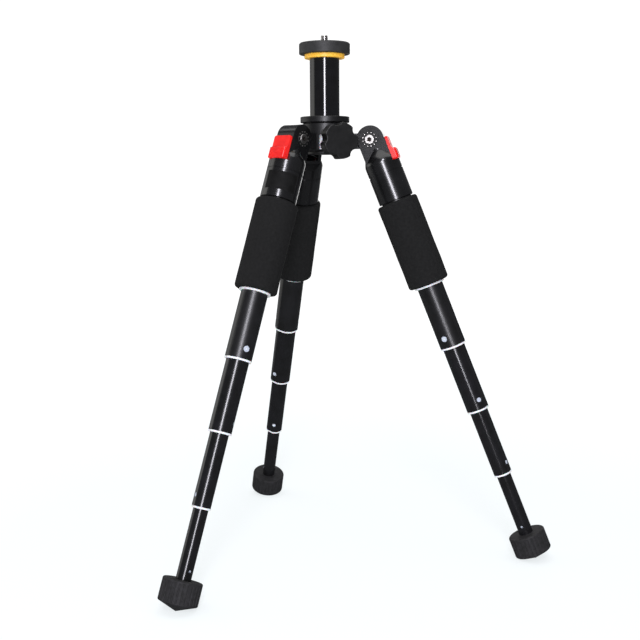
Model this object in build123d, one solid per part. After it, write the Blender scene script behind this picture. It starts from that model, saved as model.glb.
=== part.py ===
from build123d import *
from math import cos, radians, sin, tan
import os

"""Five-section twist-lock mini tripod with a short sliding centre column.

Frame: +Z up, origin on the floor under the column axis, front (-Y) is the side of the clamp knob.
The legs stand at 60 degrees left and right of the front, and at the back. Millimetres and degrees.
"""

os.makedirs("parts", exist_ok=True)

# --- fits -----------------------------------------------------------------------------------
GUIDE_GAP = 0.06  # radial running clearance of every sliding bush
SEAT_GAP = 0.02  # radial clearance where a piece is fixed
PAST = 1.0  # how far a cut runs past the face it opens

# --- leg stance -----------------------------------------------------------------------------
LEG_AZIMUTHS = {"left": -60, "right": 60, "rear": 180}  # from the front, towards +X
LEG_TILT = 21.57  # from vertical
PIVOT_RADIUS = 40.4  # pivot to column axis
LEG_OFFSET = 2.0  # leg axis, outward of its pivot
FOOT_TIP = 399.9  # distances along the leg are measured down from the pivot
PIVOT_Z = FOOT_TIP * cos(radians(LEG_TILT)) - LEG_OFFSET * sin(radians(LEG_TILT))

# --- leg tubes ------------------------------------------------------------------------------
TUBE_RADII = [13.5, 11.5, 9.85, 8.0]
TUBE_TOPS = [42.0, 110.0, 169.0, 230.0]
TUBE_ENDS = [136.0, 194.0, 255.0, 316.7]
TUBE_WALL = 0.7
TUBE_FLAT = 0.5  # depth of the two flats that key one tube to the next
FLAT_ANGLES = [-25.0, 130.0]
PEG_ANGLES = [None, 67.0, 118.0, 155.0]
PEG_RADII = [None, 2.5, 2.0, 1.75]
PEG_HEIGHT = 8.5  # peg centre above the tube's end
PEG_SINK = 0.25  # peg ends below the tube's surface, flats included
PEG_GAP = 0.05
FLANGE = 1.5
BUSH_LENGTH = 16.0
SLIDER_LENGTH = 8.6
ROD_RADIUS = 6.25
COLLET_TOP = 288.4
COLLET_END = 300.4
COLLET_BORE = 3.6
COLLET_SLIT = 0.5  # half the width of the slit
NECK_RADIUS = 3.5
ROD_CAP_RADIUS = 5.5
ROD_CAP_HEIGHT = 2.8
ROD_SHOULDER_GAP = 0.3  # rod's shoulder below the collet
FOAM_RADIUS = 18.2
FOAM_TOP = 57.8
FOAM_END = 135.8
FOAM_ROUND = 2.6

# --- rubber foot ----------------------------------------------------------------------------
FOOT_RADIUS = 16.35
FOOT_TOP = 375.2
FOOT_SOCKET_END = 388.0
FOOT_ROUND = 1.2
FOOT_FLUTES = 28
FOOT_FLUTE_RADIUS = 0.8
FOOT_FLUTE_MARGIN = 1.5  # plain rubber above the flutes

# --- leg casting and its joint --------------------------------------------------------------
SLEEVE_RADIUS = 15.5
SLEEVE_END = 57.0
SLEEVE_CHAMFER = 0.6
SLEEVE_TOP = 23.0  # full sleeve width from here down
GROOVE_TOP = 31.2  # shallow ring groove round the sleeve
GROOVE_END = 32.2
GROOVE_DEPTH = 0.5
CORE_TOP = 26.0  # hollow above tube 1
CORE_STEP = 2.0  # ledge over tube 1
EAR_RADIUS = 11.9
EAR_HALF = 9.4  # half the width over both ears
FLARE_TOP = 8.0  # the ears' flat sides start to swell into the round sleeve here
EAR_INSIDE = 10.6  # inner face of the neck under the ears
NECK_END = 17.0
SLOT_HALF = 6.2
SLOT_RADIUS = 8.6
SLOT_FLOOR = 14.0
WALL_TOP_ANGLE = 54.0  # where the outer wall ends above the pivot
TONGUE_HALF = 6.0
TONGUE_RADIUS = 8.2
BOLT_RADIUS = 3.0
BOLT_GAP = 0.05
BOLT_HEAD_RADIUS = 4.2
BOLT_HEAD_SEAT = 8.0
BOLT_HEAD_ROUND = 0.6
BOLT_END = 10.6
BOLT_SOCKET = 2.1  # centre to corner of the hexagon
BOLT_SOCKET_DEPTH = 2.0
NUT_BORE = 1.75
SCREW_SHANK = 1.7
WASHER_RADIUS = 6.5
WASHER_THICK = 0.65
WASHER_TEETH = 12
TOOTH_LENGTH = 1.0
TOOTH_HALF = 0.55

# --- angle tab ------------------------------------------------------------------------------
TAB_SEAT = 12.5  # flat under the tab, outward of the pivot
TAB_GAP = 0.2  # tab to its seat
TAB_TOP = 2.5
TAB_END = 24.0
TAB_FACE = 15.2
TAB_LIP = 18.6
TAB_HALF = 9.0
TAB_CORNER = 2.0
TAB_SIDE_ROUND = 2.4
TAB_TOP_ROUND = 0.8
RIB_COUNT = 4
RIB_PITCH = 1.5
RIB_TOP = 16.8
RIB_RADIUS = 0.4
RIB_HALF = 7.0
SHANK_HALF = 3.0
SHANK_TOP = 3.5
SHANK_END = 8.5
SHANK_GAP = 0.1
SHANK_TIP = 8.0
TAB_PIN_DEPTH = 19.0
TAB_PIN_RADIUS = 1.0
TAB_PIN_TIP = 5.2
SPRING_RADIUS = 1.6
SPRING_WIRE = 0.25
SPRING_PITCH = 1.4
SPRING_LENGTH = 6.0
SPRING_SEAT = 5.6
SPRING_POCKET = 4.5

# --- hub ------------------------------------------------------------------------------------
HUB_RADIUS = 19.75
HUB_BOTTOM = 362.0
HUB_TOP = 386.0
HUB_CHAMFER = 0.8
HUB_FLOOR = 1.2  # lip that holds the liner from below
ARM_TOP = 5.5  # relative to the pivot
ARM_BOTTOM = -7.6
ARM_STOPS = [-13.0, 17.0, 47.0]  # notches for the tab's pawl
NOTCH_RADIUS = 1.3
NOTCH_OUT = 0.3  # notch centre beyond the tongue's rim
COLUMN_RADIUS = 13.0
COLUMN_WALL = 1.5
COLUMN_PASS = 0.3  # radial clearance of the column in the hub's lip
LINER_RADIUS = 14.5
BORE_RADIUS = 14.55
LINER_TOP = 383.8
LINER_SLIT = 1.0  # half the width of the slit
SPIGOT_RADIUS = 17.0
SPIGOT_DEPTH = 2.0
WINDOW_AZIMUTH = -28.0
WINDOW_WIDTH = 5.3
WINDOW_BOTTOM = 363.0
WINDOW_TOP = 376.0

# --- column and head ------------------------------------------------------------------------
COLLAR_RADIUS = 21.5
COLLAR_BOTTOM = 386.5
COLLAR_TOP = 391.5
COLLAR_BORE_GAP = 0.1
COLLAR_ROUND = 0.5
COLUMN_BOTTOM = 359.0
CAP_RADIUS = 16.5
CAP_THICK = 2.6
CAP_SPIGOT = 8.0
CAP_ROUND = 0.6
RING_BOTTOM = 441.5
RING_RADIUS = 17.5
RING_ROUND = 0.5
PLATE_BOTTOM = 445.1
PLATE_TOP = 454.7
PLATE_RADIUS = 22.2
PLATE_TOP_CHAMFER = 1.0
PLATE_BOTTOM_CHAMFER = 0.5
PLATE_GROOVES = [9.0, 12.0, 15.0, 18.0]
PLATE_GROOVE_HALF = 0.5
PLATE_GROOVE_DEPTH = 0.4
PLATE_SKIN = 4.0  # plate left above the stud's shoulder
SCREW_RADIUS = 3.175  # 1/4-20 UNC
SCREW_TOP = 461.2
SCREW_CHAMFER = 0.5
SCREW_NECK = 3.0
SCREW_HOLE = 3.25
THREAD_START = 0.1  # thread begins above the plate
STUD_RADIUS = 4.75  # lower thread of the camera screw
STUD_LENGTH = 9.9
PLUG_LENGTH = 14.0
PLUG_HOLE = 10.0

# --- clamp knob, pointing to the front ------------------------------------------------------
KNOB_Z = 369.7
KNOB_BACK = 28.5
KNOB_FACE = 39.5
KNOB_RADIUS = 15.5
KNOB_LOBES = 5
KNOB_FIRST_HOLLOW = 30.0
KNOB_HOLLOW_RADIUS = 5.2
KNOB_HOLLOW_OUT = 2.8  # hollow's centre beyond the knob's rim
KNOB_LOBE_ROUND = 1.6
KNOB_FACE_ROUND = 0.9
KNOB_NECK_RADIUS = 7.5
KNOB_NECK = 2.2
BOSS_RADIUS = 6.2
BOSS_END = 25.5
CLAMP_RADIUS = 3.95
CLAMP_BORE = 4.05
STUD_START = 17.2
STUD_END = 35.9

nodes = {}


def span(radius, low, high, x=0.0, y=0.0):
    """A round bar along Z from low to high."""
    return Pos(x, y, (low + high) / 2) * Cylinder(radius, high - low)


def ring(outer, inner, low, high, x=0.0):
    """A plain tube along Z."""
    return span(outer, low, high, x) - span(inner, low - PAST, high + PAST, x)


def block(x0, x1, y0, y1, z0, z1):
    """A box between two corners."""
    return Pos((x0 + x1) / 2, (y0 + y1) / 2, (z0 + z1) / 2) * Box(x1 - x0, y1 - y0, z1 - z0)


def cross_bar(radius, y0, y1, x=0.0, z=0.0):
    """A round bar along Y."""
    return Pos(x, (y0 + y1) / 2, z) * Rot(90, 0, 0) * Cylinder(radius, y1 - y0)


def out_bar(radius, x0, x1, z):
    """A round bar along X."""
    return Pos((x0 + x1) / 2, 0, z) * Rot(0, 90, 0) * Cylinder(radius, x1 - x0)


def keyed_bar(radius, s_top, s_end):
    """A bar about the leg axis with the two shallow flats of the leg tubes."""
    bar = span(radius, -s_end, -s_top)
    flat = radius - TUBE_FLAT
    for angle in FLAT_ANGLES:
        bar -= Rot(0, 0, angle) * block(flat, radius + PAST, -radius, radius, -s_end - PAST, -s_top + PAST)
    return Pos(LEG_OFFSET, 0, 0) * bar


def keyed_tube(outer, inner, s_top, s_end):
    """A keyed tube about the leg axis."""
    return keyed_bar(outer, s_top, s_end) - keyed_bar(inner, s_top - PAST, s_end + PAST)


def pegs(index, radius_gap, reach):
    """The two pegs, opposite each other, that hold a bush in its tube."""
    bar = Rot(0, 0, PEG_ANGLES[index]) * out_bar(PEG_RADII[index] + radius_gap, -reach, reach, 0)
    return Pos(LEG_OFFSET, 0, -(TUBE_ENDS[index] - PEG_HEIGHT)) * bar


# --- parts of one leg, in leg coordinates: X outward, Y sideways, Z up along the leg ---------


def leg_casting():
    """Two ears round the hub arm, an outer wall that seats the angle tab, and a sleeve for tube 1."""
    skin = SLEEVE_RADIUS + 0.1  # the outlines stand clear of the sleeve's own round surface
    inner = LEG_OFFSET - SLEEVE_RADIUS - 0.1
    top = EAR_RADIUS + 2
    side = Plane.XZ * make_face(
        Polyline(
            (TAB_SEAT - 2 * EAR_RADIUS, 0), (-EAR_INSIDE, -4), (-EAR_INSIDE, -NECK_END), (inner, -SLEEVE_TOP),
            (inner, -SLEEVE_END), (LEG_OFFSET + skin, -SLEEVE_END), (LEG_OFFSET + skin, -TAB_END - TAB_GAP),
            (TAB_SEAT, -TAB_END - TAB_GAP), (TAB_SEAT, 0), (TAB_SEAT - 2 * EAR_RADIUS, 0),
        )
    )
    side += Plane.XZ * Pos(TAB_SEAT - EAR_RADIUS, 0) * Circle(EAR_RADIUS)
    flare = make_face(
        Line((0, -FLARE_TOP), (EAR_HALF, -FLARE_TOP))
        + Spline((EAR_HALF, -FLARE_TOP), (skin, -SLEEVE_TOP), tangents=((0, -1), (0, -1)))
        + Line((skin, -SLEEVE_TOP), (skin, -SLEEVE_END - PAST))
        + Line((skin, -SLEEVE_END - PAST), (0, -SLEEVE_END - PAST))
        + Line((0, -SLEEVE_END - PAST), (0, -FLARE_TOP))
    )
    ears = block(-30, 30, -EAR_HALF, EAR_HALF, -SLEEVE_END - PAST, top)
    ears += Pos(LEG_OFFSET, 0, 0) * revolve(Plane.XZ * flare, Axis.Z)
    casting = extrude(side, 20, both=True) & ears
    casting &= span(SLEEVE_RADIUS, -SLEEVE_END, top, LEG_OFFSET)
    casting -= ring(SLEEVE_RADIUS + PAST, SLEEVE_RADIUS - GROOVE_DEPTH, -GROOVE_END, -GROOVE_TOP, LEG_OFFSET)
    rim = casting.edges().filter_by(GeomType.CIRCLE).group_by(Axis.Z)[0]
    casting = chamfer(rim, SLEEVE_CHAMFER)
    casting -= span(TUBE_RADII[0] + SEAT_GAP, -SLEEVE_END - PAST, -TUBE_TOPS[0] + SEAT_GAP, LEG_OFFSET)
    casting -= span(TUBE_RADII[0] - CORE_STEP, -TUBE_TOPS[0] - PAST, -CORE_TOP, LEG_OFFSET)
    slot = cross_bar(SLOT_RADIUS, -SLOT_HALF, SLOT_HALF)
    slot += block(-20, SLOT_RADIUS, -SLOT_HALF, SLOT_HALF, -SLOT_FLOOR, 0)
    slot += block(-20, 0, -SLOT_HALF, SLOT_HALF, -PAST, 20)
    slot += Rot(0, -WALL_TOP_ANGLE, 0) * block(0, 20, -SLOT_HALF, SLOT_HALF, 0, 20)
    casting -= slot
    casting -= cross_bar(BOLT_RADIUS + BOLT_GAP, -20, 20)
    for side_sign in (-1, 1):
        seat = sorted([side_sign * (BOLT_HEAD_SEAT - BOLT_GAP), side_sign * 20])
        casting -= cross_bar(BOLT_HEAD_RADIUS + BOLT_GAP, *seat)
    shank_half = SHANK_HALF + SHANK_GAP
    casting -= block(6, 20, -shank_half, shank_half, -SHANK_END - SHANK_GAP, -SHANK_TOP + SHANK_GAP)
    casting -= out_bar(SPRING_RADIUS + SPRING_WIRE + 0.2, SPRING_POCKET, 20, -TAB_PIN_DEPTH)
    return casting


def angle_tab():
    """Red tab that is pulled outward: grip plate, pawl shank and guide pin in one moulding."""
    seat = TAB_SEAT + TAB_GAP
    outline = make_face(
        Line((seat, -TAB_TOP), (TAB_FACE, -TAB_TOP))
        + Line((TAB_FACE, -TAB_TOP), (TAB_FACE, -11.5))
        + ThreePointArc((TAB_FACE, -11.5), (TAB_FACE + 0.6, -13.4), (TAB_FACE + 2.5, -14.2))
        + ThreePointArc((TAB_FACE + 2.5, -14.2), (TAB_LIP - 0.2, -14.5), (TAB_LIP, -15.2))
        + Line((TAB_LIP, -15.2), (TAB_LIP, -21.5))
        + ThreePointArc((TAB_LIP, -21.5), (TAB_LIP - 0.7, -23.3), (TAB_LIP - 2.5, -TAB_END))
        + Line((TAB_LIP - 2.5, -TAB_END), (seat, -TAB_END))
        + Line((seat, -TAB_END), (seat, -TAB_TOP))
    )
    plate = extrude(Plane.XZ * outline, TAB_HALF, both=True)
    plate = fillet(plate.edges().filter_by(Axis.Y).group_by(Axis.Z)[-1], TAB_TOP_ROUND)
    corners = block(10, 25, -TAB_HALF, TAB_HALF, -TAB_END, -TAB_TOP)
    plate &= fillet(corners.edges().filter_by(Axis.X), TAB_CORNER)
    sides = block(0, TAB_LIP, -TAB_HALF, TAB_HALF, -30, 5)
    plate &= fillet(sides.edges().filter_by(Axis.Z).group_by(Axis.X)[-1], TAB_SIDE_ROUND)
    for i in range(RIB_COUNT):
        plate -= cross_bar(RIB_RADIUS, -RIB_HALF, RIB_HALF, TAB_LIP + 0.15, -RIB_TOP - RIB_PITCH * i)
    shank = block(SHANK_TIP, seat + 0.5, -SHANK_HALF, SHANK_HALF, -SHANK_END, -SHANK_TOP)
    pin = out_bar(TAB_PIN_RADIUS, TAB_PIN_TIP, seat + 0.5, -TAB_PIN_DEPTH)
    return plate + shank + pin


def tab_spring():
    """Return spring round the tab's guide pin."""
    path = Helix(pitch=SPRING_PITCH, height=SPRING_LENGTH, radius=SPRING_RADIUS)
    wire = sweep(Plane(origin=path @ 0, z_dir=path % 0) * Circle(SPRING_WIRE), path)
    return Pos(SPRING_SEAT, 0, -TAB_PIN_DEPTH) * Rot(0, 90, 0) * wire


def leg_tube(index):
    """Keyed tube; tubes 2 to 4 have a hole for each bush peg."""
    radius = TUBE_RADII[index]
    tube = keyed_tube(radius, radius - TUBE_WALL, TUBE_TOPS[index], TUBE_ENDS[index])
    if PEG_ANGLES[index] is not None:
        tube -= pegs(index, PEG_GAP, radius + PAST)
    return tube


def lower_bush(index):
    """Bush fixed in a tube's end, with a flange under it and a running bore for what slides inside."""
    seat = TUBE_RADII[index] - TUBE_WALL - SEAT_GAP
    end = TUBE_ENDS[index]
    top = end - BUSH_LENGTH
    foot_end = end + FLANGE
    bush = keyed_bar(seat, top, end)
    if PEG_ANGLES[index] is not None:
        bush += pegs(index, 0, TUBE_RADII[index]) & keyed_bar(TUBE_RADII[index] - PEG_SINK, top, end)
    bush += keyed_bar(TUBE_RADII[index], end, foot_end)
    if index + 1 < len(TUBE_RADII):
        return bush - keyed_bar(TUBE_RADII[index + 1] + GUIDE_GAP, top - PAST, foot_end + PAST)
    return bush - span(ROD_RADIUS + GUIDE_GAP, -foot_end - PAST, -top + PAST, LEG_OFFSET)


def upper_bush(index):
    """Guide ring fixed round a tube's top end, sliding in the tube outside it."""
    top = TUBE_TOPS[index]
    outer = TUBE_RADII[index - 1] - TUBE_WALL - GUIDE_GAP
    return keyed_tube(outer, TUBE_RADII[index] + SEAT_GAP, top, top + SLIDER_LENGTH)


def rod_collet():
    """Split collet that the rod's neck turns in."""
    outer = TUBE_RADII[-1] - TUBE_WALL - TUBE_FLAT - GUIDE_GAP
    collet = ring(outer, COLLET_BORE, -COLLET_END, -COLLET_TOP)
    collet -= block(0, outer + PAST, -COLLET_SLIT, COLLET_SLIT, -COLLET_END - PAST, -COLLET_TOP - 3)
    return Pos(LEG_OFFSET, 0, 0) * collet


def foot_rod():
    """Solid lowest section: rod, neck through the collet, and the cap that holds the collet."""
    shoulder = COLLET_END + ROD_SHOULDER_GAP
    cap = COLLET_TOP - SEAT_GAP
    rod = span(ROD_RADIUS, -FOOT_SOCKET_END, -shoulder)
    rod += span(NECK_RADIUS, -shoulder - PAST, -cap + PAST)
    rod += span(ROD_CAP_RADIUS, -cap, -cap + ROD_CAP_HEIGHT)
    return Pos(LEG_OFFSET, 0, 0) * rod


def foot():
    """Fluted rubber foot whose shallow conical sole stands flat on a line at the leg's stance."""
    rim = FOOT_TIP - FOOT_RADIUS * tan(radians(LEG_TILT))
    profile = make_face(
        Polyline((0, -FOOT_TIP), (FOOT_RADIUS, -rim), (FOOT_RADIUS, -FOOT_TOP), (0, -FOOT_TOP), (0, -FOOT_TIP))
    )
    profile = fillet(profile.vertices().group_by(Axis.X)[-1], FOOT_ROUND)
    body = revolve(Plane.XZ * profile, Axis.Z)
    flute = span(FOOT_FLUTE_RADIUS, -rim + FOOT_ROUND, -FOOT_TOP - FOOT_FLUTE_MARGIN, FOOT_RADIUS + 0.3)
    for i in range(FOOT_FLUTES):
        body -= Rot(0, 0, 360 / FOOT_FLUTES * i) * flute
    body -= span(ROD_RADIUS + SEAT_GAP, -FOOT_SOCKET_END - SEAT_GAP, -FOOT_TOP + PAST)
    return Pos(LEG_OFFSET, 0, 0) * body


def foam_grip():
    """Closed-cell foam sleeve over tube 1."""
    grip = ring(FOAM_RADIUS, TUBE_RADII[0] + SEAT_GAP, -FOAM_END, -FOAM_TOP, LEG_OFFSET)
    rims = grip.edges().filter_by(GeomType.CIRCLE).sort_by(SortBy.RADIUS)[-2:]
    return fillet(rims, FOAM_ROUND)


leg_parts = {
    "leg_casting": leg_casting(),
    "foam_grip": foam_grip(),
    "angle_tab": angle_tab(),
    "tab_spring": tab_spring(),
    "rod_collet": rod_collet(),
    "foot_rod": foot_rod(),
    "foot": foot(),
    "tube_1": leg_tube(0),
    "bush_1": lower_bush(0),
}
for i in range(1, len(TUBE_RADII)):
    leg_parts[f"tube_{i + 1}"] = leg_tube(i)
    leg_parts[f"bush_{i + 1}"] = Compound(children=[lower_bush(i), upper_bush(i)])


def away_from_column(azimuth):
    """The level direction from the column towards a leg."""
    return Vector(sin(radians(azimuth)), -cos(radians(azimuth)), 0)


def pivot_place(azimuth):
    """The upright frame at a leg's pivot: X outward, Z up."""
    away = away_from_column(azimuth)
    return Plane(origin=away * PIVOT_RADIUS + Vector(0, 0, PIVOT_Z), x_dir=away, z_dir=(0, 0, 1)).location


for name, azimuth in LEG_AZIMUTHS.items():
    leg_place = pivot_place(azimuth) * Rot(0, -LEG_TILT, 0)
    for part_name, shape in leg_parts.items():
        nodes[f"{name}_{part_name}"] = leg_place * shape

# --- hub ------------------------------------------------------------------------------------
knob_place = Plane(origin=(0, 0, KNOB_Z), x_dir=(1, 0, 0), z_dir=(0, -1, 0)).location


def hub_arm():
    """Arm with a round, notched end between the ears; the notches are the tab's three stops."""
    reach = PIVOT_RADIUS - BORE_RADIUS - PAST
    side = Plane.XZ * make_face(
        Polyline(
            (-reach, ARM_TOP), (-6, ARM_TOP), (0, 0), (0, -TONGUE_RADIUS), (-8, ARM_BOTTOM),
            (-reach, ARM_BOTTOM), (-reach, ARM_TOP),
        )
    )
    arm = extrude(side, TONGUE_HALF, both=True) + cross_bar(TONGUE_RADIUS, -TONGUE_HALF, TONGUE_HALF)
    for stop in ARM_STOPS:
        out = (TONGUE_RADIUS + NOTCH_OUT) * cos(radians(stop))
        up = (TONGUE_RADIUS + NOTCH_OUT) * sin(radians(stop))
        arm -= cross_bar(NOTCH_RADIUS, -10, 10, out, up)
    return arm


hub = span(HUB_RADIUS, HUB_BOTTOM, HUB_TOP)
hub = chamfer(hub.edges().filter_by(GeomType.CIRCLE), HUB_CHAMFER)
for azimuth in LEG_AZIMUTHS.values():
    hub += pivot_place(azimuth) * hub_arm()
hub += knob_place * span(BOSS_RADIUS, 10, BOSS_END)
hub -= span(BORE_RADIUS, HUB_BOTTOM + HUB_FLOOR, HUB_TOP + PAST)
hub -= span(COLUMN_RADIUS + COLUMN_PASS, HUB_BOTTOM - PAST, HUB_TOP)
hub -= span(SPIGOT_RADIUS + SEAT_GAP, HUB_TOP - SPIGOT_DEPTH - SEAT_GAP, HUB_TOP + PAST)
hub -= knob_place * span(CLAMP_BORE, 10, 30)
window = block(10, 22, -WINDOW_WIDTH / 2, WINDOW_WIDTH / 2, WINDOW_BOTTOM, WINDOW_TOP)
hub -= Rot(0, 0, WINDOW_AZIMUTH - 90) * window
for azimuth in LEG_AZIMUTHS.values():
    hub -= pivot_place(azimuth) * cross_bar(BOLT_RADIUS + BOLT_GAP, -20, 20)
nodes["hub_casting"] = hub

collar = span(COLLAR_RADIUS, COLLAR_BOTTOM, COLLAR_TOP)
collar = fillet(collar.edges().filter_by(GeomType.CIRCLE), COLLAR_ROUND)
collar += span(SPIGOT_RADIUS, HUB_TOP - SPIGOT_DEPTH, COLLAR_BOTTOM)
collar -= span(COLUMN_RADIUS + COLLAR_BORE_GAP, HUB_TOP - SPIGOT_DEPTH - PAST, COLLAR_TOP + PAST)
nodes["collar_ring"] = collar

liner = ring(LINER_RADIUS, COLUMN_RADIUS + GUIDE_GAP, HUB_BOTTOM + HUB_FLOOR + 0.1, LINER_TOP)
nodes["column_liner"] = liner - block(-LINER_SLIT, LINER_SLIT, 10, 16, HUB_BOTTOM, HUB_TOP)

# --- pivots: a barrel nut from one side, a screw from the other, and a toothed ring under each -


def bolt_head(low, high):
    """Round head with a hexagon socket in its outer face, which points along +Z."""
    head = span(BOLT_HEAD_RADIUS, low, high)
    head = fillet(head.edges().filter_by(GeomType.CIRCLE).group_by(Axis.Z)[-1], BOLT_HEAD_ROUND)
    socket = extrude(RegularPolygon(BOLT_SOCKET, 6), BOLT_SOCKET_DEPTH + PAST)
    return head - Pos(0, 0, high - BOLT_SOCKET_DEPTH) * socket


def toothed_washer():
    """Flat ring with short teeth round its rim."""
    low = EAR_HALF + BOLT_GAP
    high = low + WASHER_THICK
    washer = span(WASHER_RADIUS - TOOTH_LENGTH, low, high)
    tooth = block(WASHER_RADIUS - 2 * TOOTH_LENGTH, WASHER_RADIUS, -TOOTH_HALF, TOOTH_HALF, low, high)
    for i in range(WASHER_TEETH):
        washer += Rot(0, 0, 360 / WASHER_TEETH * i) * tooth
    return washer - span(BOLT_HEAD_RADIUS + BOLT_GAP, low - PAST, high + PAST)


barrel = span(BOLT_RADIUS, -7.5, BOLT_HEAD_SEAT) + bolt_head(BOLT_HEAD_SEAT, BOLT_END)
barrel -= span(NUT_BORE, -10, 5)
screw = span(SCREW_SHANK, -4, BOLT_HEAD_SEAT) + bolt_head(BOLT_HEAD_SEAT, BOLT_END)
barrels, screws, washers = [], [], []
for azimuth in LEG_AZIMUTHS.values():
    at = pivot_place(azimuth)
    barrels.append(at * Rot(90, 0, 0) * barrel)
    screws.append(at * Rot(-90, 0, 0) * screw)
    washers.append(at * Rot(90, 0, 0) * toothed_washer())
    washers.append(at * Rot(-90, 0, 0) * toothed_washer())
nodes["pivot_barrels"] = Compound(children=barrels)
nodes["pivot_screws"] = Compound(children=screws)
nodes["pivot_washers"] = Compound(children=washers)

# --- clamp: knob and stud turn together, the pad only moves along --------------------------------
outline = Circle(KNOB_RADIUS)
for i in range(KNOB_LOBES):
    turn = Rot(0, 0, KNOB_FIRST_HOLLOW + 360 / KNOB_LOBES * i)
    outline -= turn * Pos(KNOB_RADIUS + KNOB_HOLLOW_OUT, 0) * Circle(KNOB_HOLLOW_RADIUS)
outline = fillet(outline.vertices(), KNOB_LOBE_ROUND)
knob = Pos(0, 0, KNOB_BACK) * extrude(outline, KNOB_FACE - KNOB_BACK)
knob = fillet(knob.edges().group_by(Axis.Z)[-1], KNOB_FACE_ROUND)
knob += span(KNOB_NECK_RADIUS, KNOB_BACK - KNOB_NECK, KNOB_BACK)
knob -= span(CLAMP_RADIUS + SEAT_GAP, 20, STUD_END + 0.1)
nodes["clamp_knob"] = knob_place * knob
nodes["clamp_stud"] = knob_place * span(CLAMP_RADIUS, STUD_START, STUD_END)
nodes["brake_pad"] = knob_place * span(CLAMP_RADIUS - 0.05, LINER_RADIUS + 0.08, STUD_START - 0.1)

# --- column and head ------------------------------------------------------------------------
column_bore = COLUMN_RADIUS - COLUMN_WALL
cap_top = COLUMN_BOTTOM + CAP_THICK
nodes["column_tube"] = ring(COLUMN_RADIUS, column_bore, cap_top, RING_BOTTOM)
cap = span(CAP_RADIUS, COLUMN_BOTTOM, cap_top)
cap = fillet(cap.edges().filter_by(GeomType.CIRCLE), CAP_ROUND)
nodes["column_bottom_cap"] = cap + span(column_bore - SEAT_GAP, cap_top, cap_top + CAP_SPIGOT)
plug = span(column_bore - SEAT_GAP, RING_BOTTOM - PLUG_LENGTH, RING_BOTTOM)
nodes["column_top_plug"] = plug - span(STUD_RADIUS + SEAT_GAP, RING_BOTTOM - PLUG_HOLE, RING_BOTTOM + PAST)
top_ring = ring(RING_RADIUS, STUD_RADIUS + 0.5, RING_BOTTOM, PLATE_BOTTOM)
rims = top_ring.edges().filter_by(GeomType.CIRCLE).sort_by(SortBy.RADIUS)[-2:]
nodes["column_top_ring"] = fillet(rims, RING_ROUND)
plate = span(PLATE_RADIUS, PLATE_BOTTOM, PLATE_TOP)
plate = chamfer(plate.edges().filter_by(GeomType.CIRCLE).group_by(Axis.Z)[-1], PLATE_TOP_CHAMFER)
plate = chamfer(plate.edges().filter_by(GeomType.CIRCLE).group_by(Axis.Z)[0], PLATE_BOTTOM_CHAMFER)
for radius in PLATE_GROOVES:
    wide, narrow = radius + PLATE_GROOVE_HALF, radius - PLATE_GROOVE_HALF
    plate -= ring(wide, narrow, PLATE_TOP - PLATE_GROOVE_DEPTH, PLATE_TOP + PAST)
shoulder = PLATE_TOP - PLATE_SKIN
plate -= span(STUD_RADIUS + SEAT_GAP, PLATE_BOTTOM - PAST, shoulder)
nodes["head_plate"] = plate - span(SCREW_HOLE, PLATE_BOTTOM, PLATE_TOP + PAST)
screw = span(SCREW_RADIUS, PLATE_TOP + THREAD_START, SCREW_TOP)
screw = chamfer(screw.edges().filter_by(GeomType.CIRCLE).group_by(Axis.Z)[-1], SCREW_CHAMFER)
screw += span(SCREW_NECK, shoulder - PAST, PLATE_TOP + THREAD_START)
nodes["camera_screw"] = screw + span(STUD_RADIUS, RING_BOTTOM - STUD_LENGTH, shoulder - 0.05)

for name, shape in nodes.items():
    export_step(shape, f"parts/{name}.step")
print(f"{len(nodes)} nodes, pivot height {PIVOT_Z:.2f}")
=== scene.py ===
import bmesh
import bpy
from math import cos, pi, radians, sin
from mathutils import Matrix, Vector, noise


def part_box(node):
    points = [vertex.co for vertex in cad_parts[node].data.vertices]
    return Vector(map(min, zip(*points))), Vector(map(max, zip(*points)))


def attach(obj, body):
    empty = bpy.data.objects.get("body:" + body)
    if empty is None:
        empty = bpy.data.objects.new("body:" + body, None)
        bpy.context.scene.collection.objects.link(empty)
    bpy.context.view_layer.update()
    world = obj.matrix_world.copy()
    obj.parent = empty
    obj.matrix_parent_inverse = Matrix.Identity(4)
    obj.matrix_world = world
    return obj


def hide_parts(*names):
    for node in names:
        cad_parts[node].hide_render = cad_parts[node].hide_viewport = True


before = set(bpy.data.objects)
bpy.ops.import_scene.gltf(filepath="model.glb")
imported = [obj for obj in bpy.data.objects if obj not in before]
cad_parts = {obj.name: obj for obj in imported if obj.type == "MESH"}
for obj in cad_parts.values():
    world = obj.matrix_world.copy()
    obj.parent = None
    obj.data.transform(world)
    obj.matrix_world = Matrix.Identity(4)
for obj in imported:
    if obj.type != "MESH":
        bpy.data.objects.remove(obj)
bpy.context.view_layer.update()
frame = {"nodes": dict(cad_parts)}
nodes = frame["nodes"]


# --- Camera ---------------------------------------------------------------------------------
# A short telephoto lens on a stand, from just below the hub's height and a little to the left of
# the clamp knob, turned down slightly.

CAMERA_LENS = 59.0
CAMERA_DISTANCE = 0.9363
CAMERA_HEIGHT = 0.33475
CAMERA_AZIMUTH = radians(-20.53)
CAMERA_HEADING = radians(0.337)  # turned this much to the left of the column
CAMERA_DIP = radians(7.48)  # below level
CAMERA_ROLL = radians(-0.39)

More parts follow.
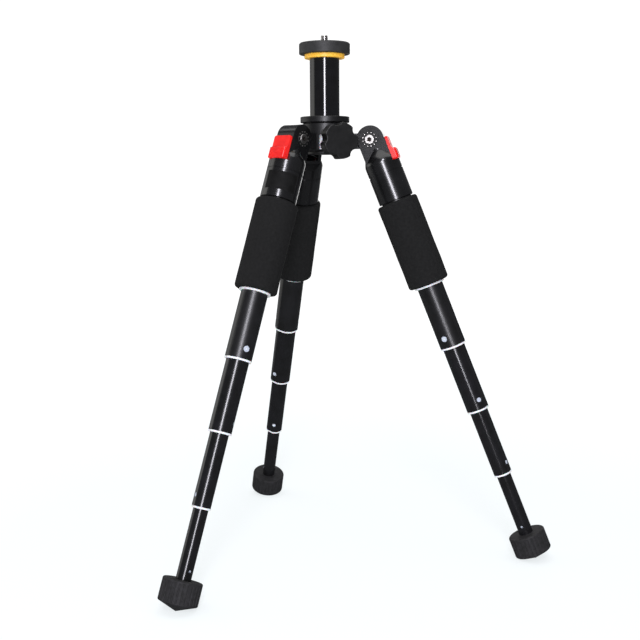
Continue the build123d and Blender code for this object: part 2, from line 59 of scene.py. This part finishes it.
camera = bpy.data.objects.new("camera", bpy.data.cameras.new("camera"))
bpy.context.scene.collection.objects.link(camera)
bpy.context.scene.camera = camera
camera.data.lens = CAMERA_LENS
stand = Vector((sin(CAMERA_AZIMUTH), -cos(CAMERA_AZIMUTH), 0)) * CAMERA_DISTANCE
camera.matrix_world = (
    Matrix.Translation(stand + Vector((0, 0, CAMERA_HEIGHT)))
    @ Matrix.Rotation(CAMERA_AZIMUTH + CAMERA_HEADING, 4, "Z")
    @ Matrix.Rotation(pi / 2 - CAMERA_DIP, 4, "X")
    @ Matrix.Rotation(CAMERA_ROLL, 4, "Z")
)


# --- Floor and studio light -----------------------------------------------------------------
# A seamless white sheet that glows softly, as a lit table does, and is kept out of the gloss.
# A tall narrow soft box stands behind the camera, two wide dim ones at the left and back for the
# edges, a strip on the right, and a broad panel hangs overhead.

SKY_COLOUR = (0.92, 0.94, 1.0, 1)
SKY_STRENGTH = 0.10
BACKDROP_COLOUR = (1.0, 1.0, 1.0, 1)
BACKDROP_STRENGTH = 1.1
FLOOR_HALF = 6.0
FLOOR_COLOUR = (0.30, 0.31, 0.31, 1)
FLOOR_GLOW_STRENGTH = 1.06
FLOOR_GLOW_REACH = 3.0  # the stops below are fractions of this distance from the column
FLOOR_GLOW = ((0.10, (0.69, 0.72, 0.73, 1)), (0.35, (0.82, 0.85, 0.86, 1)), (0.8, (1, 1, 1, 1)))


class Value:
    """A number or colour inside a node tree; the sum or product of two adds a Math node."""

    def __init__(self, nodes, socket):
        self.nodes, self.socket = nodes, socket

    def math(self, operation, *others):
        return self.nodes.add("ShaderNodeMath", {"operation": operation}, dict(enumerate((self, *others))))

    def __add__(self, other):
        return self.math("ADD", other)

    __radd__ = __add__

    def __mul__(self, other):
        return self.math("MULTIPLY", other)

    __rmul__ = __mul__


class Nodes:
    """A node tree whose nodes all come from add()."""

    def __init__(self, tree):
        self.tree = tree

    def find(self, sockets, name):
        if isinstance(name, int):
            return sockets[name]
        return [socket for socket in sockets if socket.name == name and socket.enabled][0]

    def add(self, kind, settings, inputs, output=0):
        node = self.tree.nodes.new(kind)
        for name, value in settings.items():
            if name == "stops":
                elements = node.color_ramp.elements
                while len(elements) < len(value):
                    elements.new(1.0)
                for element, (position, colour) in zip(elements, value):
                    element.position, element.color = position, colour
            else:
                setattr(node, name, value)
        for name, value in inputs.items():
            if isinstance(value, Value):
                self.tree.links.new(value.socket, self.find(node.inputs, name))
            else:
                self.find(node.inputs, name).default_value = value
        return Value(self, self.find(node.outputs, output))


class Finish(Nodes):
    """A material built from nodes round one Principled shader."""

    DARK_AT, LIGHT_AT = 0.3, 0.7  # where a mottled colour's two ends lie in its noise

    def __init__(self, name, **constants):
        self.material = bpy.data.materials.new(name)
        self.material.use_nodes = True
        super().__init__(self.material.node_tree)
        self.shader = self.tree.nodes["Principled BSDF"]
        for socket, value in constants.items():
            self.shader.inputs[socket.replace("_", " ")].default_value = value
        self.place = self.add("ShaderNodeTexCoord", {}, {}, "Object")

    def noise(self, scale, detail=3.0, roughness=0.5, place=None):
        inputs = {"Vector": place or self.place, "Scale": scale, "Detail": detail, "Roughness": roughness}
        return self.add("ShaderNodeTexNoise", {}, inputs, "Fac")

    def mottle(self, value, dark, light):
        stops = ((self.DARK_AT, dark), (self.LIGHT_AT, light))
        return self.add("ShaderNodeValToRGB", {"stops": stops}, {"Fac": value}, "Color")

    def bump(self, height, distance, strength, **under):
        inputs = {"Height": height, "Distance": distance, "Strength": strength, **under}
        return self.add("ShaderNodeBump", {}, inputs, "Normal")

    def use(self, **links):
        for name, value in links.items():
            self.tree.links.new(value.socket, self.shader.inputs[name.replace("_", " ")])


bpy.context.scene.view_settings.view_transform = "Standard"
world = bpy.data.worlds.new("studio")
bpy.context.scene.world = world
world.use_nodes = True
studio = Nodes(world.node_tree)
sky = studio.add("ShaderNodeBackground", {}, {"Color": SKY_COLOUR, "Strength": SKY_STRENGTH})
backdrop = studio.add("ShaderNodeBackground", {}, {"Color": BACKDROP_COLOUR, "Strength": BACKDROP_STRENGTH})
seen = studio.add("ShaderNodeLightPath", {}, {}, "Is Camera Ray")
mixed = studio.add("ShaderNodeMixShader", {}, {0: seen, 1: sky, 2: backdrop})
world.node_tree.links.new(mixed.socket, world.node_tree.nodes["World Output"].inputs["Surface"])

pale = Finish(
    "pale_floor", Base_Color=FLOOR_COLOUR, Roughness=1.0, Specular_IOR_Level=0.0,
    Emission_Strength=FLOOR_GLOW_STRENGTH,
)
reach = pale.add("ShaderNodeVectorMath", {"operation": "LENGTH"}, {0: pale.place}, "Value")
nearness = reach * (1 / FLOOR_GLOW_REACH)
pale.use(Emission_Color=pale.add("ShaderNodeValToRGB", {"stops": FLOOR_GLOW}, {"Fac": nearness}, "Color"))
sheet = bmesh.new()
bmesh.ops.create_grid(sheet, x_segments=2, y_segments=2, size=FLOOR_HALF)
floor_mesh = bpy.data.meshes.new("floor")
sheet.to_mesh(floor_mesh)
sheet.free()
floor_mesh.materials.append(pale.material)
floor = bpy.data.objects.new("floor", floor_mesh)
bpy.context.scene.collection.objects.link(floor)
floor.visible_glossy = False


def panel_light(name, radiance, azimuth, distance, height, width, tall, colour, aim=(0, 0, 0.25)):
    """A rectangular soft box that faces the tripod; its power follows from its brightness and area."""
    light = bpy.data.lights.new(name, "AREA")
    light.shape = "RECTANGLE"
    light.size, light.size_y = width, tall
    light.energy = radiance * pi * width * tall
    light.color = colour
    lamp = bpy.data.objects.new(name, light)
    bpy.context.scene.collection.objects.link(lamp)
    a = radians(azimuth)
    lamp.location = (sin(a) * distance, -cos(a) * distance, height)
    lamp.rotation_euler = (Vector(aim) - lamp.location).to_track_quat("-Z", "Y").to_euler()


panel_light(
    "key_box", radiance=20.0, azimuth=-21, distance=1.9, height=0.80, width=0.32, tall=1.9,
    colour=(0.93, 0.92, 1.0),
)
panel_light(
    "left_wall", radiance=0.45, azimuth=-138, distance=1.6, height=0.6, width=1.7, tall=1.6,
    colour=(1.0, 0.99, 0.95),
)
panel_light(
    "left_fill", radiance=0.35, azimuth=-122, distance=1.5, height=0.6, width=0.8, tall=1.6,
    colour=(1.0, 0.99, 0.95),
)
panel_light(
    "right_strip", radiance=1.6, azimuth=146, distance=1.6, height=0.6, width=0.5, tall=1.4,
    colour=(1.0, 0.99, 0.98),
)
panel_light(
    "overhead_panel", radiance=1.3, azimuth=0, distance=0.01, height=2.6, width=3.2, tall=3.2,
    colour=(1.0, 1.0, 1.0), aim=(0, 0, 0),
)


# --- Hub casting and collar ring -------------------------------------------------------------
# The hub is die-cast aluminium with a satin black powder coat that has a soft orange-peel skin.
# The collar is a turned ring with the same coat, pressed in on top to hold the column's liner.

COOL_BLACK = (1, 1, 1.1)


def grey(level, tint=(1, 1, 1)):
    """An opaque dark or light colour of a given level."""
    return (level * tint[0], level * tint[1], level * tint[2], 1.0)


def coat(finish, *names):
    """Gives a finish to CAD pieces, whose shape stays."""
    for name in names:
        nodes[name].data.materials.clear()
        nodes[name].data.materials.append(finish.material)


casting_black = Finish("satin_black_casting", IOR=1.5, Coat_Roughness=0.3)
peel = casting_black.noise(1400, 2.0)
cloud = casting_black.noise(60, 3.0)
casting_black.use(
    Base_Color=casting_black.mottle(cloud, grey(0.004), grey(0.008, COOL_BLACK)),
    Roughness=0.36 + 0.12 * casting_black.noise(220, 4.0),
    Coat_Weight=0.10 + 0.15 * cloud,
    Normal=casting_black.bump(peel, 0.00002, 0.15),
)
coat(casting_black, "hub_casting", "collar_ring")


# --- Column liner and brake pad ---------------------------------------------------------------
# White nylon: the split sleeve that the column slides in, which shows in the hub's small window,
# and the plug that the clamp screw presses against it. Both are moulded.

COOL_WHITE = (1, 1, 1.02)
nylon = Finish("white_nylon", Subsurface_Weight=0.15, Subsurface_Scale=0.002, IOR=1.53)
cloud = nylon.noise(250, 4.0)
nylon.use(
    Base_Color=nylon.mottle(cloud, grey(0.78, COOL_WHITE), grey(0.88, COOL_WHITE)),
    Roughness=0.38 + 0.15 * cloud,
    Normal=nylon.bump(nylon.noise(900, 3.0), 0.00003, 0.4),
)
coat(nylon, "column_liner", "brake_pad")


# --- Clamp knob and stud ----------------------------------------------------------------------
# A five-lobed knob moulded in black glass-filled nylon on a plated steel stud, which screws into
# the hub's front. The cap at the column's lower end is moulded in the same nylon.

moulded = Finish("moulded_black_knob", IOR=1.48)
grain = moulded.noise(2600, 2.0)
moulded.use(
    Base_Color=moulded.mottle(moulded.noise(120), grey(0.004), grey(0.008)),
    Roughness=0.34 + 0.14 * moulded.noise(300),
    Normal=moulded.bump(grain, 0.00003, 0.5),
)
coat(moulded, "clamp_knob", "column_bottom_cap")

WARM_METAL = (1, 0.97, 0.95)
steel = Finish("plated_steel", Metallic=1.0)
steel.use(
    Base_Color=steel.mottle(steel.noise(500), grey(0.55, WARM_METAL), grey(0.78, WARM_METAL)),
    Roughness=0.18 + 0.2 * steel.noise(900, 4.0),
)
coat(steel, "clamp_stud")


# --- Column tube, plug and top ring --------------------------------------------------------------
# The column is a drawn aluminium tube, anodised gloss black, with a bright turned plug in its top
# end and an orange ring round that, under the head plate.

BLUE_BLACK = (1, 1, 1.15)
tube_black = Finish("gloss_black_tube", IOR=1.7)
along = tube_black.add("ShaderNodeMapping", {}, {"Vector": tube_black.place, "Scale": (1, 1, 0.02)})
drawn = tube_black.noise(300, 3.0, 0.6, along)
tube_black.use(
    Base_Color=tube_black.mottle(tube_black.noise(80), grey(0.003), grey(0.006, BLUE_BLACK)),
    Roughness=0.09 + 0.03 * drawn,
    Normal=tube_black.bump(drawn, 0.00001, 0.05),
)
coat(tube_black, "column_tube")
coat(steel, "column_top_plug")

orange = Finish("orange_ring")
orange.use(
    Base_Color=orange.mottle(orange.noise(200), (1.0, 0.50, 0.04, 1), (1.0, 0.60, 0.07, 1)),
    Roughness=0.35 + 0.15 * orange.noise(800),
    Coat_Weight=0.1 * orange.noise(90),
)
coat(orange, "column_top_ring")


# --- Head plate --------------------------------------------------------------------------------
# A turned aluminium disc in matte charcoal, fixed on the column's top end. Shallow rings are cut
# in its top face to grip the camera.

charcoal = Finish("matte_charcoal_plate")
charcoal.use(
    Base_Color=charcoal.mottle(charcoal.noise(150), grey(0.016), grey(0.026)),
    Roughness=0.5 + 0.15 * charcoal.noise(700),
    Normal=charcoal.bump(charcoal.noise(2200, 2.0), 0.00003, 0.5),
)
coat(charcoal, "head_plate")


# --- Camera screw ----------------------------------------------------------------------------------
# A plated steel stud with a rolled quarter-inch thread, twenty to the inch, fixed in the plate.
# Its tip has a chamfer to start in the camera's socket.

PLATE_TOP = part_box("head_plate")[1][2]
SCREW_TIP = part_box("camera_screw")[1][2]
THREAD_PITCH = 0.00127
THREAD_CREST = 0.003175
THREAD_ROOT = 0.0026
THREAD_PROFILE = (  # each corner's radius, and its rise in pitches
    (THREAD_ROOT, 0.0), (THREAD_ROOT, 0.1), (THREAD_CREST, 0.4), (THREAD_CREST, 0.7),
)
THREAD_STEPS = 48
SCREW_START = PLATE_TOP - 0.003
SCREW_CHAMFER = 0.0006
WELD = 0.00001
CUT_SLACK = 1e-7
SHARP_EDGE = radians(35)


def new_piece(name, mesh, finishes, body):
    """Makes an object of a finished bmesh, gives it its finishes and hangs it on a body."""
    bmesh.ops.recalc_face_normals(mesh, faces=mesh.faces)
    data = bpy.data.meshes.new(name)
    mesh.to_mesh(data)
    mesh.free()
    data.shade_smooth()
    data.set_sharp_from_angle(angle=SHARP_EDGE)
    for finish in finishes:
        data.materials.append(finish.material)
    piece = bpy.data.objects.new(name, data)
    bpy.context.scene.collection.objects.link(piece)
    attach(piece, body)
    return piece


thread = bmesh.new()
turns = int((SCREW_TIP - SCREW_START) / THREAD_PITCH) + 3  # runs past both ends, which are cut below
corners = []
for turn in range(turns):
    height = SCREW_START + (turn - 1) * THREAD_PITCH
    for radius, rise in THREAD_PROFILE:
        corners.append(thread.verts.new((radius, 0, height + rise * THREAD_PITCH)))
for lower, upper in zip(corners, corners[1:]):
    thread.edges.new((lower, upper))
bmesh.ops.spin(
    thread, geom=thread.verts[:] + thread.edges[:], cent=(0, 0, 0), axis=(0, 0, 1),
    dvec=(0, 0, THREAD_PITCH / THREAD_STEPS), angle=2 * pi, steps=THREAD_STEPS, use_duplicate=False,
)
bmesh.ops.remove_doubles(thread, verts=thread.verts, dist=WELD)
for height, side in ((SCREW_START, -1), (SCREW_TIP, 1)):
    cut = bmesh.ops.bisect_plane(
        thread, geom=thread.verts[:] + thread.edges[:] + thread.faces[:], dist=CUT_SLACK,
        plane_co=(0, 0, height), plane_no=(0, 0, side), clear_outer=True,
    )
    rim = [item for item in cut["geom_cut"] if isinstance(item, bmesh.types.BMEdge)]
    bmesh.ops.contextual_create(thread, geom=rim)
for vert in thread.verts:
    chamfer = THREAD_CREST - SCREW_CHAMFER + (SCREW_TIP - vert.co.z)
    if vert.co.xy.length > chamfer:
        vert.co.xy *= chamfer / vert.co.xy.length
screw = new_piece("threaded_camera_screw", thread, [steel], "column")
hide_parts("camera_screw")


# --- Leg castings --------------------------------------------------------------------------------
# Die-cast aluminium sockets, each with two ears that straddle an arm of the hub and a sleeve that
# holds the upper tube. They have the hub's black coat, but glossier.

LEG_AZIMUTHS = {"left": radians(-60), "right": radians(60), "rear": radians(180)}
LEGS = tuple(LEG_AZIMUTHS)
PIVOT_RADIUS = 0.0404
PIVOT_HEIGHT = 0.37116
LEG_TILT = radians(21.57)
LEG_OFFSET = 0.002


def pivot_frame(leg):
    """The upright axes at a leg's pivot: X outward, Y sideways, Z up."""
    turn = Matrix.Rotation(LEG_AZIMUTHS[leg] - pi / 2, 4, "Z")
    return turn @ Matrix.Translation((PIVOT_RADIUS, 0, PIVOT_HEIGHT))


def leg_frame(leg):
    """The leg's own axes at its pivot: X outward, Y sideways, Z up the leg."""
    return pivot_frame(leg) @ Matrix.Rotation(-LEG_TILT, 4, "Y")


sleeve_black = Finish("satin_black_sleeve", IOR=1.6, Coat_Roughness=0.14)
haze = sleeve_black.noise(60, 3.0)
sleeve_black.use(
    Base_Color=sleeve_black.mottle(haze, grey(0.003), grey(0.007, COOL_BLACK)),
    Roughness=0.20 + 0.06 * sleeve_black.noise(220, 4.0),
    Coat_Weight=0.35 + 0.2 * haze,
    Normal=sleeve_black.bump(sleeve_black.noise(1400, 2.0), 0.00002, 0.12),
)
coat(sleeve_black, *[f"{leg}_leg_casting" for leg in LEGS])


# --- Sleeve label ----------------------------------------------------------------------------------
# A thin matte black film, stuck on the left sleeve below its groove. It is plain and dulls the
# sleeve's gloss there.

LABEL_TOP = 0.0345  # distances down the leg from its pivot
LABEL_END = 0.0502
LABEL_RADIUS = 0.01553
LABEL_THICK = 0.00006
LABEL_MIDDLE = radians(38)  # from straight outward, towards the front
LABEL_SPAN = radians(104)
LABEL_CUTS = 6
LABEL_STEPS = 40

matte_film = Finish("matte_black_film", Specular_IOR_Level=0.12)
matte_film.use(
    Base_Color=matte_film.mottle(matte_film.noise(200), grey(0.004), grey(0.007)),
    Roughness=0.55 + 0.15 * matte_film.noise(900),
)
label = bmesh.new()
label_ends = [label.verts.new((LABEL_RADIUS, 0, -down_leg)) for down_leg in (LABEL_TOP, LABEL_END)]
bmesh.ops.subdivide_edges(label, edges=[label.edges.new(label_ends)], cuts=LABEL_CUTS)
bmesh.ops.transform(label, matrix=Matrix.Rotation(LABEL_MIDDLE - LABEL_SPAN / 2, 4, "Z"), verts=label.verts)
bmesh.ops.spin(
    label, geom=label.verts[:] + label.edges[:], cent=(0, 0, 0), axis=(0, 0, 1),
    angle=LABEL_SPAN, steps=LABEL_STEPS, use_duplicate=False,
)
bmesh.ops.recalc_face_normals(label, faces=label.faces)
bmesh.ops.solidify(label, geom=label.faces[:], thickness=LABEL_THICK)
leg_axis = Matrix.Translation((LEG_OFFSET, 0, 0))
bmesh.ops.transform(label, matrix=leg_frame("left") @ leg_axis, verts=label.verts)
new_piece("sleeve_label", label, [matte_film], "left_leg")


# --- Pivot rings -----------------------------------------------------------------------------------
# Each leg turns on a plated barrel bolt. A blackened steel ring lies under each of its heads, and
# the ring's twelve teeth are worn bright. The bolts' hexagon sockets are painted dark as shade.

RING_INNER = 0.00425
RING_OUTER = 0.0066
RING_LOW = 0.00945  # along the bolt from its middle, as is the next
RING_HIGH = 0.0099
RING_CHAMFER = 0.00015
RING_STEPS = 48
TOOTH_COUNT = 12
TOOTH_MIDDLE = 0.00595
TOOTH_SIZE = (0.00115, 0.00095, 0.00045)
TOOTH_BEVEL = 0.0002
SOCKET_RADIUS = 0.0019  # the painted shade of the hexagon sockets lies within this

# Blackened steel for the pivot rings; the same finish paints the shadow round the peg caps' pale ends.
dark_steel_and_peg_shadow = Finish("blackened_steel_and_peg_shadow", Metallic=0.6)
dark_steel_and_peg_shadow.use(
    Base_Color=dark_steel_and_peg_shadow.mottle(dark_steel_and_peg_shadow.noise(900), grey(0.01), grey(0.03)),
    Roughness=0.4 + 0.2 * dark_steel_and_peg_shadow.noise(1500),
)
rings, teeth = bmesh.new(), bmesh.new()
for leg in LEGS:
    for quarter in (1, -1):
        seat = pivot_frame(leg) @ Matrix.Rotation(quarter * pi / 2, 4, "X")
        section = [
            rings.verts.new(seat @ Vector((radius, 0, height)))
            for radius, height in (
                (RING_INNER, RING_LOW), (RING_OUTER, RING_LOW), (RING_OUTER, RING_HIGH - RING_CHAMFER),
                (RING_OUTER - RING_CHAMFER, RING_HIGH), (RING_INNER, RING_HIGH),
            )
        ]
        loop = [rings.edges.new((a, b)) for a, b in zip(section, section[1:] + section[:1])]
        bmesh.ops.spin(
            rings, geom=section + loop, cent=seat.translation, axis=seat.col[2].xyz,
            angle=2 * pi, steps=RING_STEPS, use_merge=True, use_duplicate=False,
        )
        for number in range(TOOTH_COUNT):
            turn = Matrix.Rotation(2 * pi * (number + 0.5) / TOOTH_COUNT, 4, "Z")
            place = Matrix.Translation((TOOTH_MIDDLE, 0, RING_HIGH + TOOTH_SIZE[2] / 4))
            size = Matrix.Diagonal((*TOOTH_SIZE, 1))
            bmesh.ops.create_cube(teeth, size=1.0, matrix=seat @ turn @ place @ size)
bmesh.ops.bevel(
    teeth, geom=teeth.edges[:], offset=TOOTH_BEVEL, affect="EDGES", segments=2, profile=0.5, material=-1,
)
BOLT_TINT = (1, 0.97, 0.93)
# Painted shade: the bolt heads' hexagon sockets get a warm dark colour in place of the shade a recess would
# get.
SOCKET_SHADE = grey(0.05, (1.0, 0.85, 0.75))
bolt_steel = Finish("plated_bolt_steel", Metallic=1.0)
near_axis = None
for leg in LEGS:
    middle, line = pivot_frame(leg).translation, pivot_frame(leg).col[1].xyz
    ends = {0: bolt_steel.place, 1: middle}
    away = bolt_steel.add("ShaderNodeVectorMath", {"operation": "SUBTRACT"}, ends)
    off = bolt_steel.add("ShaderNodeVectorMath", {"operation": "CROSS_PRODUCT"}, {0: away, 1: line})
    distance = bolt_steel.add("ShaderNodeVectorMath", {"operation": "LENGTH"}, {0: off}, "Value")
    near_axis = distance if near_axis is None else near_axis.math("MINIMUM", distance)
socket_shade_mask = near_axis.math("LESS_THAN", SOCKET_RADIUS)
plated = bolt_steel.mottle(bolt_steel.noise(700), grey(0.42, BOLT_TINT), grey(0.66, BOLT_TINT))
layers = {"Factor": socket_shade_mask, "A": plated, "B": SOCKET_SHADE}
bolt_steel.use(
    Base_Color=bolt_steel.add("ShaderNodeMix", {"data_type": "RGBA"}, layers, "Result"),
    Roughness=0.28 + 0.15 * bolt_steel.noise(900, 4.0) + 0.3 * socket_shade_mask,
)
coat(bolt_steel, "pivot_barrels", "pivot_screws")
ring_piece = new_piece("pivot_rings", rings, [dark_steel_and_peg_shadow], "hub")
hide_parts("pivot_washers")
new_piece("pivot_ring_teeth", teeth, [bolt_steel], "hub")


# --- Leg tubes -------------------------------------------------------------------------------------
# Drawn aluminium tubes with two shallow flats, anodised black: satin on the two wide ones and
# glossier on the two narrow ones and on the solid rod. White nylon bushes guide each in the next,
# and a nylon collet on the rod grips the narrowest.

TUBE_FINISHES = (
    ("satin_black_tube", 0.30, ("tube_1", "tube_2")),
    ("gloss_black_leg_tube", 0.17, ("tube_3", "tube_4", "foot_rod")),
)
for finish_name, roughness, parts in TUBE_FINISHES:
    anodised = Finish(finish_name, IOR=1.6)
    anodised.use(
        Base_Color=anodised.mottle(anodised.noise(80), grey(0.005), grey(0.009, BLUE_BLACK)),
        Roughness=roughness + 0.06 * anodised.noise(300, 3.0),
        Normal=anodised.bump(anodised.noise(900, 2.0), 0.00001, 0.1),
    )
    coat(anodised, *[f"{leg}_{part}" for leg in LEGS for part in parts])
NYLON_PARTS = ("bush_1", "bush_2", "bush_3", "bush_4", "rod_collet")
coat(nylon, *[f"{leg}_{part}" for leg in LEGS for part in NYLON_PARTS])


# --- Peg caps --------------------------------------------------------------------------------------
# Each bush is held by two opposite pegs. Their round pale ends sit a hair under the tube's surface,
# each ringed by a painted shadow: a dark rim on the cap's face stands for the shade in the peg's hole.

SECTIONS = {  # tube number: its radius, its end down the leg, its pegs' angle and their radius
    2: (0.0115, 0.194, 67, 0.0025),
    3: (0.00985, 0.255, 118, 0.0020),
    4: (0.0080, 0.3167, 155, 0.00175),
}
PEG_ABOVE_END = 0.0085
PEG_SEAT = 0.00024  # cap's underside below the tube's surface
PEG_RISE = 0.00011
PEG_SHY = 0.00002  # the caps stay this far below the round and the flats, to pass the next bush
TUBE_FLAT = 0.0005
FLAT_ANGLES = (-25, 130)
PEG_SHADOW_RIM = 0.00035
PEG_SIDES = 32
OPPOSITE = (0, 180)

pale_peg = Finish("pale_peg_end")
pale_peg.use(
    Base_Color=pale_peg.mottle(pale_peg.noise(700), (0.42, 0.46, 0.55, 1), (0.55, 0.6, 0.68, 1)),
    Roughness=0.4 + 0.2 * pale_peg.noise(1200),
)
for leg in LEGS:
    for number, (radius, end, angle, peg_radius) in SECTIONS.items():
        caps = bmesh.new()
        for side in OPPOSITE:
            reach, facing = radius, angle + side
            for flat in FLAT_ANGLES:
                apart = radians(angle + side - flat)
                if cos(apart) > 1 - TUBE_FLAT / radius:
                    reach, facing = (radius - TUBE_FLAT) / cos(apart), flat
            middle = Matrix.Rotation(radians(angle + side), 4, "Z") @ Vector((reach, 0, 0))
            turn = Matrix.Rotation(radians(facing), 4, "Z") @ Matrix.Rotation(pi / 2, 4, "Y")
            seat = Matrix.Translation(middle) @ turn
            made = bmesh.ops.create_circle(
                caps, cap_ends=True, segments=PEG_SIDES, radius=peg_radius,
                matrix=seat @ Matrix.Translation((0, 0, -PEG_SEAT)),
            )
            face = made["verts"][0].link_faces[0]
            # The outer band of each cap's face takes the second, dark finish: a painted shadow of the peg's
            # hole.
            ring = bmesh.ops.inset_region(caps, faces=[face], thickness=PEG_SHADOW_RIM, depth=0)["faces"]
            for shadow_face in ring:
                shadow_face.material_index = 1
            top = bmesh.ops.extrude_discrete_faces(caps, faces=[face])["faces"]
            bmesh.ops.translate(caps, verts=top[0].verts, vec=seat.col[2].xyz * PEG_RISE)
        for vert in caps.verts:
            if vert.co.xy.length > radius - PEG_SHY:
                vert.co.xy *= (radius - PEG_SHY) / vert.co.xy.length
            for flat in FLAT_ANGLES:
                outward = Vector((cos(radians(flat)), sin(radians(flat)), 0))
                proud = vert.co.dot(outward) - (radius - TUBE_FLAT - PEG_SHY)
                if proud > 0:
                    vert.co -= outward * proud
        tube_end = Matrix.Translation((LEG_OFFSET, 0, PEG_ABOVE_END - end))
        bmesh.ops.transform(caps, matrix=leg_frame(leg) @ tube_end, verts=caps.verts)
        section_body = f"{leg}_section_{number}"
        new_piece(f"{leg}_peg_caps_{number}", caps, [pale_peg, dark_steel_and_peg_shadow], section_body)


# --- Rod pins --------------------------------------------------------------------------------------
# A thin plated pin is driven across the rod just above the rubber foot, filed to the rod's round.
# Its two ends show as small light dots.

PIN_DOWN = 0.3675
PIN_ANGLE = 78
PIN_RADIUS = 0.0009
PIN_SIDES = 24
PIN_DEPTH = 0.001
PIN_RISE = 0.00002  # stands this much out of the rod, and still slips into the bush above
ROD_RADIUS = 0.00625
for leg in LEGS:
    pins = bmesh.new()
    for side in OPPOSITE:
        turn = Matrix.Rotation(radians(PIN_ANGLE + side), 4, "Z") @ Matrix.Rotation(pi / 2, 4, "Y")
        bmesh.ops.create_cone(
            pins, cap_ends=True, segments=PIN_SIDES, depth=PIN_DEPTH,
            radius1=PIN_RADIUS, radius2=PIN_RADIUS,
            matrix=turn @ Matrix.Translation((0, 0, ROD_RADIUS + PIN_RISE - PIN_DEPTH / 2)),
        )
    for vert in pins.verts:
        if vert.co.xy.length > ROD_RADIUS:
            vert.co.xy *= (ROD_RADIUS + PIN_RISE) / vert.co.xy.length
    rod_place = Matrix.Translation((LEG_OFFSET, 0, -PIN_DOWN))
    bmesh.ops.transform(pins, matrix=leg_frame(leg) @ rod_place, verts=pins.verts)
    new_piece(f"{leg}_rod_pin", pins, [pale_peg], f"{leg}_foot")


# --- Angle tabs --------------------------------------------------------------------------------
# Red moulded tabs that the thumb pulls outward to free the leg. A steel coil spring behind each
# presses its pawl back into a notch of the hub's arm.

red = Finish("red_tab", IOR=1.5)
red.use(
    Base_Color=red.mottle(red.noise(180), (0.72, 0.008, 0.008, 1), (0.86, 0.016, 0.012, 1)),
    Roughness=0.25 + 0.15 * red.noise(500),
    Normal=red.bump(red.noise(1500), 0.00002, 0.1),
)
coat(red, *[f"{leg}_angle_tab" for leg in LEGS])
coat(steel, *[f"{leg}_tab_spring" for leg in LEGS])


# --- Foam grips ----------------------------------------------------------------------------------
# Closed-cell foam sleeves, cut from a long tube and pushed over the upper tubes: matte, with soft
# rounded ends and never quite even.

FOAM_INNER = 0.0137
FOAM_OUTER = 0.0181
FOAM_TOP = 0.0578
FOAM_END = 0.1358
FOAM_ROUND = 0.0024
FOAM_SWELL = 0.0003
FOAM_ROWS = 40
FOAM_STEPS = 80
FOAM_ROUND_STEPS = 6
FOAM_LUMPS = 55  # about how many swells lie in a metre
FOAM_SKIN = 0.001  # only what lies further out than this from the bore swells

foam = Finish("black_foam", Specular_IOR_Level=0.25)
cells = foam.noise(2600, 2.0)
foam.use(
    Base_Color=foam.mottle(foam.noise(500, 4.0), grey(0.006), grey(0.010)),
    Roughness=0.85 + 0.1 * foam.noise(400),
    Normal=foam.bump(cells, 0.00008, 0.5, Normal=foam.bump(foam.noise(120, 3.0), 0.0003, 0.3)),
)
for leg in LEGS:
    grip = bmesh.new()
    section = [
        grip.verts.new((radius, 0, -down_leg))
        for radius, down_leg in (
            (FOAM_INNER, FOAM_TOP), (FOAM_OUTER, FOAM_TOP), (FOAM_OUTER, FOAM_END), (FOAM_INNER, FOAM_END),
        )
    ]
    grip.faces.new(section)
    bmesh.ops.bevel(
        grip, geom=section[1:3], offset=FOAM_ROUND, affect="VERTICES", segments=FOAM_ROUND_STEPS,
        profile=0.5, material=-1,
    )
    bmesh.ops.delete(grip, geom=grip.faces[:], context="FACES_ONLY")
    long_edges = [edge for edge in grip.edges if edge.calc_length() > (FOAM_END - FOAM_TOP) / 2]
    bmesh.ops.subdivide_edges(grip, edges=long_edges, cuts=FOAM_ROWS)
    bmesh.ops.spin(
        grip, geom=grip.verts[:] + grip.edges[:], cent=(0, 0, 0), axis=(0, 0, 1),
        angle=2 * pi, steps=FOAM_STEPS, use_merge=True, use_duplicate=False,
    )
    for vert in grip.verts:
        if vert.co.xy.length > FOAM_INNER + FOAM_SKIN:
            swell = noise.noise(vert.co * FOAM_LUMPS + Vector((LEG_AZIMUTHS[leg], 0, 0)))
            vert.co.xy *= 1 + FOAM_SWELL * swell / vert.co.xy.length
    bmesh.ops.transform(grip, matrix=leg_frame(leg) @ leg_axis, verts=grip.verts)
    sleeve = new_piece(f"{leg}_foam_sleeve", grip, [foam], f"{leg}_leg")
    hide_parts(f"{leg}_foam_grip")


# --- Feet ------------------------------------------------------------------------------------------
# Moulded black rubber feet, pushed on the ends of the rods. They are fluted round the side, and
# their shallow conical sole meets the ground along a line.

rubber = Finish("black_rubber", Specular_IOR_Level=0.35)
rubber.use(
    Base_Color=rubber.mottle(rubber.noise(300), grey(0.012), grey(0.022, (1.05, 1, 1.1))),
    Roughness=0.6 + 0.2 * rubber.noise(500),
    Normal=rubber.bump(rubber.noise(1500), 0.00005, 0.6),
)
coat(rubber, *[f"{leg}_foot" for leg in LEGS])
